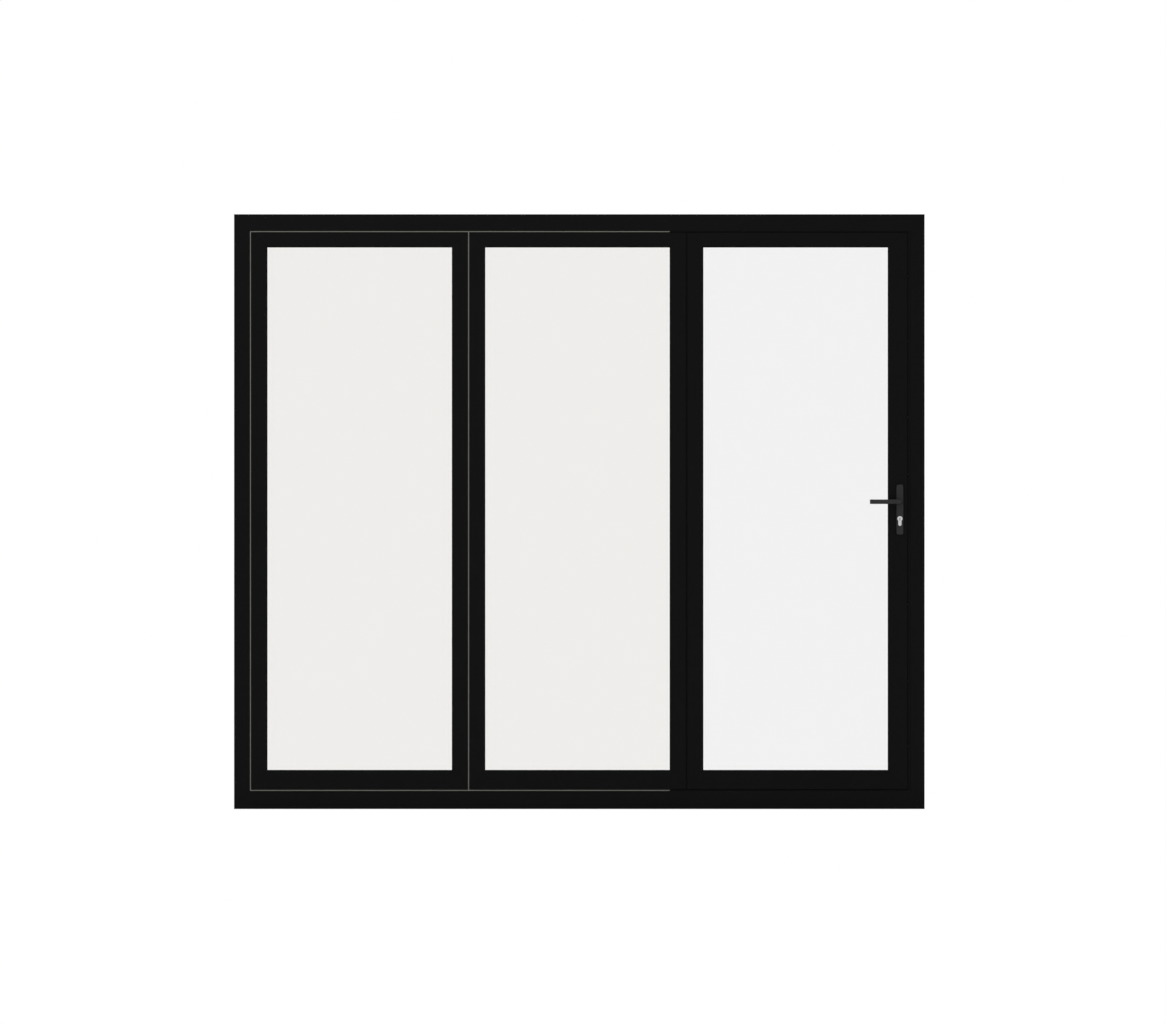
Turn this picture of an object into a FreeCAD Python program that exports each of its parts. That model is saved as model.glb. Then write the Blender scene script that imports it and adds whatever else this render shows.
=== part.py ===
import FreeCAD, Part
import os
import re
import Sketcher

# Three-leaf folding patio door in a black aluminium frame, in millimetres.
# X runs along the door, Y from the outside face to the room, Z up from the sill seat.
# The first and second leaf fold to the left jamb. The access leaf hangs on the second leaf.

SIZES = [
    ("frame_width", "2438", "overall width over the jambs"),
    ("frame_height", "2100", "overall height from sill seat to head"),
    ("frame_depth", "70", "depth of the outer frame and of the leaves"),
    ("hinge_jamb_face", "56", "face of the left jamb"),
    ("lock_jamb_face", "50", "face of the right jamb"),
    ("head_face", "59.5", "face of the head"),
    ("sill_face", "64", "face of the sill"),
    ("profile_wall", "2", "wall of the hollow profiles"),
    ("break_width", "24", "depth of the thermal break between the inner and outer chambers"),
    ("recess_depth", "12", "step of the frame behind the leaf flange"),
    ("flange_thick", "13", "thickness of the leaf flange on the room side"),
    ("flange_reach", "12", "reach of the leaf flange past the leaf edge"),
    ("lock_flange_reach", "16", "reach of the flange on the lock stile"),
    ("seal_room", "8", "room between the frame step and the leaf flange"),
    ("edge_gap", "5", "gap between the frame and the leaf edges"),
    ("lock_gap", "10", "gap between the lock stile and the right jamb"),
    ("fold_gap", "4", "gap between the first and the second leaf"),
    ("swing_gap", "5", "gap between the second and the access leaf"),
    ("stile_face", "57", "face of the plain stiles"),
    ("lock_stile_face", "70", "face of the lock stile"),
    ("top_rail_face", "53", "face of the top rails"),
    ("bottom_rail_face", "69", "face of the bottom rails"),
    ("glazing_rebate", "14", "depth of the glazing rebate"),
    ("glass_edge_room", "4", "room between the glass edge and the rebate"),
    ("unit_thick", "28", "thickness of the double glazed unit"),
    ("pane_thick", "4", "thickness of one pane"),
    ("spacer_height", "9", "height of the spacer bar and its sealant"),
    ("gasket_thick", "3", "thickness of a glazing gasket"),
    ("bead_chamfer", "3", "chamfer on the visible edge of a bead"),
    ("track_width", "16", "width of the guide track"),
    ("track_depth", "22", "depth of the guide track"),
    ("track_offset", "6", "distance of the track from the middle of the frame"),
    ("guide_inset", "40", "distance of the guides from the edge of the second leaf"),
    ("guide_post_radius", "4", "radius of a guide post"),
    ("guide_roller_height", "12", "height of a guide roller"),
    ("guide_side_play", "0.5", "play of a guide roller in the track"),
    ("guide_end_play", "4", "distance of a guide roller from the mouth of the track"),
    ("fold_seal_thick", "3.5", "thickness of the pale seal on the frame"),
    ("fold_seal_depth", "8", "depth of the pale seal"),
    ("fold_seal_setback", "2", "distance of the pale seal behind the outside face"),
    ("rebate_seal_thick", "3", "thickness of the black seal on the frame step"),
    ("rebate_seal_margin", "2", "distance of the black seal from the edges of the step"),
    ("tongue_reach", "8.5", "reach of the tongue on the second leaf"),
    ("tongue_thick", "10", "thickness of the tongue"),
    ("tongue_end_gap", "0.5", "gap between the ends of the tongue and the frame"),
    ("groove_depth", "11", "depth of the groove in the access leaf"),
    ("groove_width", "20", "width of the groove in the access leaf"),
    ("hinge_standoff", "25", "distance of the hinge axis from the room face"),
    ("hinge_end_inset", "220", "distance of the end hinges from the leaf ends"),
    ("hinge_plate_width", "32", "width of a hinge plate"),
    ("hinge_plate_thick", "4", "thickness of a hinge plate"),
    ("hinge_half_gap", "2.5", "distance of a hinge plate from the plane of the axis"),
    ("knuckle_radius", "9", "radius of a hinge knuckle"),
    ("knuckle_neck", "4.5", "thickness of the neck that carries a knuckle"),
    ("middle_knuckle", "40", "height of a middle knuckle"),
    ("end_knuckle", "30", "height of an end knuckle"),
    ("knuckle_play", "0.5", "play between two knuckles"),
    ("pin_radius", "4", "radius of a hinge pin"),
    ("pin_play", "0.05", "radial play of a hinge pin"),
    ("pin_cap_radius", "7", "radius of a hinge pin cap"),
    ("pin_cap_thick", "3", "thickness of a hinge pin cap"),
    ("lever_height", "1085", "height of the lever axis above the sill seat"),
    ("backset", "27", "distance of the lever axis from the lock edge"),
    ("plate_width", "24", "width of a handle plate"),
    ("plate_top", "60", "top of a handle plate above the lever axis"),
    ("plate_bottom", "116", "bottom of a handle plate below the lever axis"),
    ("plate_thick", "8", "thickness of a handle plate"),
    ("plate_corner", "6", "corner radius of a handle plate"),
    ("lever_radius", "8", "radius of the lever bar"),
    ("lever_play", "0.05", "radial play of the lever neck in its plate"),
    ("lever_seat_gap", "0.5", "gap between the lever neck and the stile"),
    ("lever_projection", "34", "distance of the grip axis from the stile face"),
    ("lever_bend", "12", "bend radius of the lever bar"),
    ("lever_reach", "106", "distance of the lever tip from the lever axis"),
    ("spindle_width", "8", "width of the square spindle"),
    ("spindle_play", "0.05", "play of the spindle in the lever sockets"),
    ("spindle_grip", "10", "length of the spindle in each lever"),
    ("spindle_hole_radius", "7", "radius of the spindle hole in the lock stile"),
    ("cylinder_drop", "60", "distance of the key cylinder below the lever axis"),
    ("cylinder_radius", "8.5", "radius of the key cylinder"),
    ("cylinder_height", "33", "overall height of the key cylinder"),
    ("cylinder_tail", "10", "width of the lower part of the key cylinder"),
    ("cylinder_proud", "3", "projection of the key cylinder from the handle plates"),
    ("cylinder_room", "0.4", "room around the key cylinder"),
    ("faceplate_width", "20", "width of the lock faceplate"),
    ("faceplate_thick", "3", "thickness of the lock faceplate"),
    ("faceplate_length", "1700", "length of the lock faceplate"),
    ("keep_width", "24", "width of the keep in the right jamb"),
    ("keep_length", "220", "length of the keep"),
    ("keep_thick", "3", "thickness of the keep"),
    ("keyway_width", "2.5", "width of the key slot"),
    ("keyway_height", "9", "height of the key slot"),
    ("keyway_depth", "4", "depth of the key slot"),
    ("bolt_slot_width", "12", "width of the slots for the latch and the hooks"),
    ("latch_slot_height", "36", "height of the slots for the latch and the dead bolt"),
    ("hook_slot_height", "60", "height of the slots for the hooks"),
    ("hook_offset", "700", "distance of the hooks from the middle of the leaf"),
    ("fixing_inset", "200", "distance of the end fixings from the corners of the frame"),
    ("fixing_offset", "22", "distance of the fixings from the middle of the frame"),
    ("fixing_hole_radius", "3.5", "radius of the screw holes in the backs of the jambs"),
    ("fixing_cap_radius", "6", "radius of the caps over the fixing screws"),
    ("fixing_cap_play", "0.1", "radial play of the caps"),
    ("bolt_handle_offset", "350", "distance of the shoot bolt handles from the middle of the leaf"),
    ("bolt_handle_width", "22", "width of a shoot bolt handle base"),
    ("bolt_handle_height", "120", "height of a shoot bolt handle base"),
    ("bolt_handle_thick", "8", "thickness of a shoot bolt handle base"),
    ("bolt_lever_width", "13", "width of a shoot bolt lever"),
    ("bolt_lever_height", "84", "height of a shoot bolt lever"),
    ("bolt_lever_thick", "7", "thickness of a shoot bolt lever"),
    ("bolt_boss_radius", "7.5", "radius of the boss under a shoot bolt lever"),
    ("bolt_boss_height", "6", "height of the boss under a shoot bolt lever"),
    ("bolt_handle_round", "2", "radius on the edges of a shoot bolt handle"),
    ("edge_ease", "0.8", "chamfer on the long edges of the profiles"),
    ("plate_edge_round", "2", "radius on the front edge of a handle plate"),
    ("lever_tip_round", "2", "radius on the tip of a lever"),
    ("hinge_plate_corner", "4", "corner radius of a hinge plate"),
    ("mitre_overrun", "1", "overrun of the mitre cuts past the profile"),
    ("mitre_ease", "0.3", "chamfer along the mitres on the outside and room faces"),
]

FORMULAS = {
    "half_depth": "frame_depth / 2",
    "daylight_width": "(frame_width - hinge_jamb_face - edge_gap - 5 * stile_face - fold_gap - swing_gap"
                      " - lock_stile_face - lock_gap - lock_jamb_face) / 3",
    "fold_leaf_width": "2 * stile_face + daylight_width",
    "access_leaf_width": "stile_face + daylight_width + lock_stile_face",
    "leaf_bottom": "sill_face + edge_gap",
    "leaf_top": "head_soffit - edge_gap",
    "leaf_height": "leaf_top - leaf_bottom",
    "leaf_middle": "(leaf_bottom + leaf_top) / 2",
    "left_rebate": "hinge_jamb_face - frame_width / 2",
    "right_rebate": "frame_width / 2 - lock_jamb_face",
    "head_soffit": "frame_height - head_face",
    "first_leaf_left": "left_rebate + edge_gap",
    "second_leaf_left": "first_leaf_left + fold_leaf_width + fold_gap",
    "access_leaf_left": "second_leaf_left + fold_leaf_width + swing_gap",
    "access_leaf_right": "access_leaf_left + access_leaf_width",
    "step_depth": "half_depth - flange_thick - seal_room",
    "half_break": "break_width / 2",
    "half_unit": "unit_thick / 2",
    "lip_thick": "half_depth - half_unit - gasket_thick",
    "glass_bite": "glazing_rebate - glass_edge_room",
    "access_axis": "access_leaf_left - swing_gap / 2",
    "jamb_axis": "left_rebate - recess_depth + hinge_half_gap",
    "hinge_axis_depth": "half_depth + hinge_standoff",
    "half_hinge": "middle_knuckle / 2 + knuckle_play + end_knuckle",
    "handle_axis": "access_leaf_right - backset",
    "tail_drop": "cylinder_height - cylinder_radius - cylinder_tail / 2",
}

FIXING_HEIGHTS = [
    "fixing_inset",
    "(frame_height + fixing_inset) / 3",
    "(2 * frame_height - fixing_inset) / 3",
    "frame_height - fixing_inset",
]
HINGE_CENTRES = [
    "leaf_bottom + hinge_end_inset",
    "leaf_middle",
    "leaf_top - hinge_end_inset",
]
END_KNUCKLES = [
    ("(-half_hinge)", "(-middle_knuckle / 2 - knuckle_play)"),
    ("(middle_knuckle / 2 + knuckle_play)", "half_hinge"),
]
MIDDLE_KNUCKLE = [("(-middle_knuckle / 2)", "middle_knuckle / 2")]

# directions through the door and along the mitres, and the tolerance for picking edges
DEPTH = FreeCAD.Vector(0, 1, 0)
MITRES = [FreeCAD.Vector(1, 0, 1).normalize(), FreeCAD.Vector(1, 0, -1).normalize()]
TOUCH = 0.01

doc = FreeCAD.newDocument("folding_patio_door")
sheet = doc.addObject("Spreadsheet::Sheet", "Sizes")
for row, (name, size, note) in enumerate(SIZES, start=1):
    sheet.set("A%d" % row, note)
    sheet.set("B%d" % row, size)
    sheet.setAlias("B%d" % row, name)
doc.recompute()

nodes = []


def cells(formula):
    """Write a formula in size names as an expression on the sheet."""
    def swap(match):
        name = match.group(0)
        if name in FORMULAS:
            return "(" + cells(FORMULAS[name]) + ")"
        return "Sizes." + name
    return re.sub(r"[a-z][a-z_]*", swap, formula)


def value(formula):
    """The present value of a formula in size names."""
    return float(sheet.evalExpression(cells(formula)))


def new_body(label, x="0", y="0", z="0", turn=0):
    """A body for one node, turned about the Y axis and set at a place given by formulas."""
    body = doc.addObject("PartDesign::Body", label)
    body.Label = label
    body.AllowCompound = True
    body.Placement = FreeCAD.Placement(FreeCAD.Vector(), FreeCAD.Rotation(FreeCAD.Vector(0, 1, 0), turn))
    body.setExpression("Placement.Base.x", cells(x))
    body.setExpression("Placement.Base.y", cells(y))
    body.setExpression("Placement.Base.z", cells(z))
    nodes.append(body)
    return body


def place_point(sketch, curve, end, x, y):
    """Hold a point of a sketch at a place given by two formulas."""
    for kind, formula in (("DistanceX", x), ("DistanceY", y)):
        held = sketch.addConstraint(Sketcher.Constraint(kind, -1, 1, curve, end, value(formula)))
        sketch.setExpression("Constraints[%d]" % held, cells(formula))


def draw_loop(sketch, corners):
    """Draw a closed outline with straight sides through corners given by formulas."""
    first = sketch.GeometryCount
    count = len(corners)
    spots = [FreeCAD.Vector(value(x), value(y), 0) for x, y in corners]
    for i in range(count):
        sketch.addGeometry(Part.LineSegment(spots[i], spots[(i + 1) % count]), False)
    for i in range(count):
        sketch.addConstraint(Sketcher.Constraint("Coincident", first + i, 2, first + (i + 1) % count, 1))
    for i, (x, y) in enumerate(corners):
        place_point(sketch, first + i, 1, x, y)


def draw_circle(sketch, x, y, radius):
    """Draw a circle whose centre and radius are given by formulas."""
    centre = FreeCAD.Vector(value(x), value(y), 0)
    curve = sketch.addGeometry(Part.Circle(centre, FreeCAD.Vector(0, 0, 1), value(radius)), False)
    place_point(sketch, curve, 3, x, y)
    held = sketch.addConstraint(Sketcher.Constraint("Radius", curve, value(radius)))
    sketch.setExpression("Constraints[%d]" % held, cells(radius))


def new_sketch(body, plane, offset):
    """An empty sketch on one of the body's own planes, moved along its normal."""
    sketch = body.newObject("Sketcher::SketchObject", body.Name + "_outline")
    support = [feature for feature in body.Origin.OriginFeatures if feature.Role == plane][0]
    sketch.AttachmentSupport = [(support, "")]
    sketch.MapMode = "FlatFace"
    sketch.setExpression("AttachmentOffset.Base.z", cells(offset))
    return sketch


def outline(body, plane, offset, loops, circles):
    sketch = new_sketch(body, plane, offset)
    for loop in loops:
        draw_loop(sketch, loop)
    for x, y, radius in circles:
        draw_circle(sketch, x, y, radius)
    return sketch


def pad(body, plane, start, end, loops=(), circles=()):
    """Add material between two distances along the axis that is normal to the plane."""
    # the normal of the XZ plane points along -Y
    offset = "-(%s)" % end if plane == "XZ_Plane" else start
    feature = body.newObject("PartDesign::Pad", body.Name + "_pad")
    feature.Profile = outline(body, plane, offset, loops, circles)
    feature.setExpression("Length", cells("%s - (%s)" % (end, start)))


def cut(body, plane, start, end, loops=(), circles=()):
    """Take material away between two distances along the axis that is normal to the plane."""
    offset = "-(%s)" % start if plane == "XZ_Plane" else end
    sketch = outline(body, plane, offset, loops, circles)
    doc.recompute()
    feature = body.newObject("PartDesign::Pocket", body.Name + "_cut")
    feature.Profile = sketch
    feature.setExpression("Length", cells("%s - (%s)" % (end, start)))


def box(x_start, x_end, y_start, y_end):
    """The corners of a rectangle."""
    return [(x_start, y_start), (x_end, y_start), (x_end, y_end), (x_start, y_end)]


def eased(corners, numbers):
    """An outline with some of its square corners cut at 45 degrees."""
    out = []
    for i, (x, y) in enumerate(corners):
        if i not in numbers:
            out.append((x, y))
            continue
        for other_x, other_y in (corners[i - 1], corners[(i + 1) % len(corners)]):
            across = value(other_x) - value(x)
            along = value(other_y) - value(y)
            if abs(across) > abs(along):
                out.append(("%s %s edge_ease" % (x, "+" if across > 0 else "-"), y))
            else:
                out.append((x, "%s %s edge_ease" % (y, "+" if along > 0 else "-")))
    return out


def work_edges(body, kind, field, size, chosen):
    """Fillet or chamfer the edges of the last feature that a test picks out."""
    doc.recompute()
    base = body.Tip
    names = ["Edge%d" % number for number, edge in enumerate(base.Shape.Edges, start=1) if chosen(edge)]
    feature = body.newObject("PartDesign::" + kind, body.Name + "_edges")
    feature.Base = (base, names)
    feature.setExpression(field, cells(size))


def round_edges(body, radius, chosen):
    """Round the edges of the last feature that a test picks out."""
    work_edges(body, "Fillet", "Radius", radius, chosen)


def runs_along(edge, direction):
    """Is the edge a straight line in this direction?"""
    if edge.Curve.TypeId != "Part::GeomLine":
        return False
    return edge.tangentAt(edge.FirstParameter).cross(direction).Length < TOUCH


def lies_at_depth(edge, depth):
    """Does the whole edge lie at this distance along Y?"""
    around = edge.BoundBox
    place = value(depth)
    return abs(around.YMin - place) < TOUCH and abs(around.YMax - place) < TOUCH


def mitre(body, own_face, length, start_face, end_face):
    """Cut both ends of a profile at 45 degrees through the inner corners of the frame."""
    start_run = "(%s + %s)" % (own_face, start_face)
    end_run = "(%s + %s)" % (own_face, end_face)
    inner = "%s + mitre_overrun" % own_face
    start_cut = [
        (inner, "%s + mitre_overrun" % start_face),
        ("%s - %s" % (own_face, start_run), "%s - %s" % (start_face, start_run)),
        (inner, "%s - %s" % (start_face, start_run)),
    ]
    end_cut = [
        (inner, "%s - %s - mitre_overrun" % (length, end_face)),
        ("%s - %s" % (own_face, end_run), "%s - %s + %s" % (length, end_face, end_run)),
        (inner, "%s - %s + %s" % (length, end_face, end_run)),
    ]
    cut(body, "XZ_Plane", "-frame_depth", "frame_depth", [start_cut, end_cut])

    def chosen(edge):
        flat = lies_at_depth(edge, "-half_depth") or lies_at_depth(edge, "half_depth")
        return flat and any(runs_along(edge, direction) for direction in MITRES)

    work_edges(body, "Chamfer", "Size", "mitre_ease", chosen)


def jamb(label, face, turn, x, z, start_face, end_face):
    """An upright of the outer frame: X points to the opening, Z along the profile."""
    body = new_body(label, x, "0", z, turn)
    back = "%s - recess_depth" % face
    section = eased([
        ("0", "-half_depth"), (face, "-half_depth"), (face, "step_depth"), (back, "step_depth"),
        (back, "half_depth"), ("0", "half_depth"),
    ], (0, 1, 4, 5))
    outer = box("profile_wall", "%s - profile_wall" % face, "profile_wall - half_depth", "-half_break")
    middle = box("profile_wall", "%s - profile_wall" % back, "profile_wall - half_break",
                 "half_break - profile_wall")
    inner = box("profile_wall", "%s - profile_wall" % back, "half_break", "half_depth - profile_wall")
    pad(body, "XY_Plane", "0", "frame_height", [section, outer, middle, inner])
    mitre(body, face, "frame_height", start_face, end_face)
    cut(body, "YZ_Plane", "0", "profile_wall", [],
        [("-fixing_offset", height, "fixing_hole_radius") for height in FIXING_HEIGHTS])
    cut(body, "YZ_Plane", "%s - profile_wall" % face, face, [],
        [("-fixing_offset", height, "fixing_cap_radius + fixing_cap_play") for height in FIXING_HEIGHTS])
    return body


def track_bar(label, face, turn, x, z, start_face, end_face):
    """The head or the sill: like a jamb, with the guide track in the face toward the leaves."""
    body = new_body(label, x, "0", z, turn)
    back = "%s - recess_depth" % face
    floor = "%s - track_depth" % face
    near = "-track_offset - track_width / 2"
    far = "track_width / 2 - track_offset"
    section = eased([
        ("0", "-half_depth"), (face, "-half_depth"), (face, near), (floor, near), (floor, far), (face, far),
        (face, "step_depth"), (back, "step_depth"), (back, "half_depth"), ("0", "half_depth"),
    ], (0, 1, 8, 9))
    outer = box("profile_wall", "%s - profile_wall" % face, "profile_wall - half_depth",
                "%s - profile_wall" % near)
    middle = box("profile_wall", "%s - profile_wall" % floor, near, far)
    inner = box("profile_wall", "%s - profile_wall" % back, "%s + profile_wall" % far,
                "half_depth - profile_wall")
    pad(body, "XY_Plane", "0", "frame_width", [section, outer, middle, inner])
    mitre(body, face, "frame_width", start_face, end_face)


def sash_bar(label, face, length, turn, x, z, ends, reach, end_reaches, edge=None):
    """A stile or a rail with its glazing rebate: X points to the glass, Z along the profile.

    The ends are the faces of the bars that it meets. The reach of its own flange and those of these bars
    are None where there is no flange. The edge is the depth and width of a groove in the outer edge.
    """
    body = new_body(label, x, "0", z, turn)
    seat = "%s - glazing_rebate" % face
    section = eased([
        ("0", "-half_depth"), (face, "-half_depth"), (face, "lip_thick - half_depth"),
        (seat, "lip_thick - half_depth"), (seat, "half_depth"), ("0", "half_depth"),
    ], (0, 1, 4) if reach else (0, 1, 4, 5))
    if edge:
        deep, wide = edge
        section += [
            ("0", "%s / 2" % wide), (deep, "%s / 2" % wide),
            (deep, "-%s / 2" % wide), ("0", "-%s / 2" % wide),
        ]
    end = "%s - profile_wall" % seat
    outer = box("profile_wall", end, "profile_wall - half_depth", "-half_break")
    middle = box("groove_depth + profile_wall", end, "profile_wall - half_break", "half_break - profile_wall")
    inner = box("profile_wall", end, "half_break", "half_depth - profile_wall")
    pad(body, "XY_Plane", "0", length, [section, outer, middle, inner])
    flange(body, face, length, reach, end_reaches)
    mitre(body, face, length, *ends)
    if reach:
        ease_flange(body, reach, length, end_reaches)


def flange(body, face, length, reach, end_reaches):
    """The flange that laps the frame on the room side, with square corners for the mitres."""
    start = "half_depth - flange_thick"
    low_reach, high_reach = end_reaches
    low = "-%s" % low_reach if low_reach else "0"
    high = "%s + %s" % (length, high_reach or "0")
    if reach:
        pad(body, "XZ_Plane", start, "half_depth", [box("-%s" % reach, "0", low, high)])
    corners = []
    if low_reach:
        corners.append(box("0", face, low, "0"))
    if high_reach:
        corners.append(box("0", face, length, high))
    if corners:
        pad(body, "XZ_Plane", start, "half_depth", corners)


def ease_flange(body, reach, length, end_reaches):
    """Chamfer the outer edges of a flange on its room face."""
    doc.recompute()
    side = -value(reach)
    low = -value(end_reaches[0] or "0")
    high = value("%s + %s" % (length, end_reaches[1] or "0"))

    def chosen(edge):
        around = edge.BoundBox
        if not lies_at_depth(edge, "half_depth"):
            return False
        return (abs(around.XMax - side) < TOUCH
                or abs(around.ZMax - low) < TOUCH and bool(end_reaches[0])
                or abs(around.ZMin - high) < TOUCH and bool(end_reaches[1]))

    work_edges(body, "Chamfer", "Size", "edge_ease", chosen)


def sash(leaf, left, width, left_face, right_face, left_reach, right_reach, left_edge, right_edge):
    """The four mitred bars of a leaf. A reach of None leaves the flange out."""
    right = "%s + %s" % (left, width)
    rails = ("flange_reach", "flange_reach")
    sash_bar(leaf + "_left_stile", left_face, "leaf_height", 0, left, "leaf_bottom",
             ("bottom_rail_face", "top_rail_face"), left_reach, rails, left_edge)
    sash_bar(leaf + "_top_rail", "top_rail_face", width, 90, left, "leaf_top",
             (left_face, right_face), "flange_reach", (left_reach, right_reach))
    sash_bar(leaf + "_right_stile", right_face, "leaf_height", 180, right, "leaf_top",
             ("top_rail_face", "bottom_rail_face"), right_reach, rails, right_edge)
    sash_bar(leaf + "_bottom_rail", "bottom_rail_face", width, 270, right, "leaf_bottom",
             (right_face, left_face), "flange_reach", (right_reach, left_reach))


def ring(x_start, x_end, z_start, z_end, margin, inset):
    """Two rectangles around an opening: one outside it by a margin, one inside that by an inset."""
    outer = box("%s - %s" % (x_start, margin), "%s + %s" % (x_end, margin),
                "%s - %s" % (z_start, margin), "%s + %s" % (z_end, margin))
    inner = box("%s - %s + %s" % (x_start, margin, inset), "%s + %s - %s" % (x_end, margin, inset),
                "%s - %s + %s" % (z_start, margin, inset), "%s + %s - %s" % (z_end, margin, inset))
    return [outer, inner]


def glazing(leaf, left, width, left_face, right_face):
    """The beads, double glazed unit and gaskets of a leaf, set out from its lower left corner."""
    left_sight = left_face
    right_sight = "(%s - %s)" % (width, right_face)
    low_sight = "bottom_rail_face"
    top_sight = "(leaf_height - top_rail_face)"
    bead_back = "half_unit + gasket_thick"
    side_beads = new_body(leaf + "_side_beads", left, "0", "leaf_bottom")
    left_bead = [
        ("%s - glazing_rebate" % left_sight, bead_back), (left_sight, bead_back),
        (left_sight, "half_depth - bead_chamfer"), ("%s - bead_chamfer" % left_sight, "half_depth"),
        ("%s - glazing_rebate" % left_sight, "half_depth"),
    ]
    right_bead = [
        ("%s + glazing_rebate" % right_sight, bead_back), (right_sight, bead_back),
        (right_sight, "half_depth - bead_chamfer"), ("%s + bead_chamfer" % right_sight, "half_depth"),
        ("%s + glazing_rebate" % right_sight, "half_depth"),
    ]
    pad(side_beads, "XY_Plane", low_sight, top_sight, [left_bead, right_bead])
    end_beads = new_body(leaf + "_end_beads", left, "0", "leaf_bottom")
    low_bead = [
        (bead_back, "%s - glazing_rebate" % low_sight), (bead_back, low_sight),
        ("half_depth - bead_chamfer", low_sight), ("half_depth", "%s - bead_chamfer" % low_sight),
        ("half_depth", "%s - glazing_rebate" % low_sight),
    ]
    top_bead = [
        (bead_back, "%s + glazing_rebate" % top_sight), (bead_back, top_sight),
        ("half_depth - bead_chamfer", top_sight), ("half_depth", "%s + bead_chamfer" % top_sight),
        ("half_depth", "%s + glazing_rebate" % top_sight),
    ]
    pad(end_beads, "YZ_Plane", "%s - glazing_rebate" % left_sight, "%s + glazing_rebate" % right_sight,
        [low_bead, top_bead])
    glass = new_body(leaf + "_glass", left, "0", "leaf_bottom")
    glass_start = "%s - glass_bite" % left_sight
    glass_end = "%s + glass_bite" % right_sight
    panes = [
        box(glass_start, glass_end, "-half_unit", "pane_thick - half_unit"),
        box(glass_start, glass_end, "half_unit - pane_thick", "half_unit"),
    ]
    pad(glass, "XY_Plane", "%s - glass_bite" % low_sight, "%s + glass_bite" % top_sight, panes)
    spacer = new_body(leaf + "_spacer", left, "0", "leaf_bottom")
    spacer_ring = ring(left_sight, right_sight, low_sight, top_sight, "glass_bite", "spacer_height")
    pad(spacer, "XZ_Plane", "pane_thick - half_unit", "half_unit - pane_thick", spacer_ring)
    gaskets = new_body(leaf + "_gaskets", left, "0", "leaf_bottom")
    gasket_ring = ring(left_sight, right_sight, low_sight, top_sight, "glass_bite", "glass_bite")
    pad(gaskets, "XZ_Plane", "-half_unit - gasket_thick", "-half_unit", gasket_ring)
    pad(gaskets, "XZ_Plane", "half_unit", "half_unit + gasket_thick", gasket_ring)


def hinge_flags(label, axis, side, knuckles):
    """Three hinge plates with their knuckles. The side is -1 left of the axis and 1 right of it."""
    body = new_body(label, axis, "hinge_axis_depth")
    sign = "-" if side < 0 else ""
    plate = box("%shinge_half_gap" % sign, "%s(hinge_half_gap + hinge_plate_width)" % sign,
                "-hinge_standoff", "hinge_plate_thick - hinge_standoff")
    neck = box("%s(knuckle_radius - knuckle_neck)" % sign, "%sknuckle_radius" % sign, "-hinge_standoff", "0")
    for centre in HINGE_CENTRES:
        pad(body, "XY_Plane", "%s - half_hinge" % centre, "%s + half_hinge" % centre, [plate])
    outer_edge = side * value("hinge_half_gap + hinge_plate_width")
    round_edges(body, "hinge_plate_corner",
                lambda edge: runs_along(edge, DEPTH) and abs(edge.BoundBox.Center.x - outer_edge) < TOUCH)
    for centre in HINGE_CENTRES:
        for low, high in knuckles:
            start = "%s + %s" % (centre, low)
            end = "%s + %s" % (centre, high)
            pad(body, "XY_Plane", start, end, [neck])
            pad(body, "XY_Plane", start, end, [],
                [("0", "0", "knuckle_radius"), ("0", "0", "pin_radius + pin_play")])


def hinge_pins(label, axes):
    """The pins of all hinges with a cap at each end."""
    body = new_body(label, "0", "hinge_axis_depth")
    shanks = [(axis, "0", "pin_radius") for axis in axes]
    caps = [(axis, "0", "pin_cap_radius") for axis in axes]
    for centre in HINGE_CENTRES:
        low = "%s - half_hinge" % centre
        high = "%s + half_hinge" % centre
        pad(body, "XY_Plane", low, high, [], shanks)
        pad(body, "XY_Plane", "%s - pin_cap_thick" % low, low, [], caps)
        pad(body, "XY_Plane", high, "%s + pin_cap_thick" % high, [], caps)


def key_profile(work, body, start, end, x, z, room, down):
    """The outline of a key cylinder: a round head over a narrower tail with a round end.

    The work is pad or cut, and down is the sign that takes the tail below the head.
    """
    tail = "%s %s tail_drop" % (z, down)
    half = "(cylinder_tail / 2 + %s)" % room
    work(body, "XZ_Plane", start, end, [], [(x, z, "cylinder_radius + %s" % room)])
    work(body, "XZ_Plane", start, end, [box("%s - %s" % (x, half), "%s + %s" % (x, half), z, tail)])
    work(body, "XZ_Plane", start, end, [], [(x, tail, half)])


def handle_plate(label, start, end, front):
    """A handle plate with the lever hole and the key hole, set out from the lever axis."""
    body = new_body(label, "handle_axis", "0", "lever_height")
    sides = ("-plate_width / 2", "plate_width / 2")
    pad(body, "XZ_Plane", start, end, [box(*sides, "-plate_bottom", "plate_top")])
    round_edges(body, "plate_corner", lambda edge: runs_along(edge, DEPTH))
    round_edges(body, "plate_edge_round", lambda edge: lies_at_depth(edge, front))
    cut(body, "XZ_Plane", start, end, [], [("0", "0", "lever_radius + lever_play")])
    key_profile(cut, body, start, end, "0", "-cylinder_drop", "cylinder_room", "-")


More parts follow.
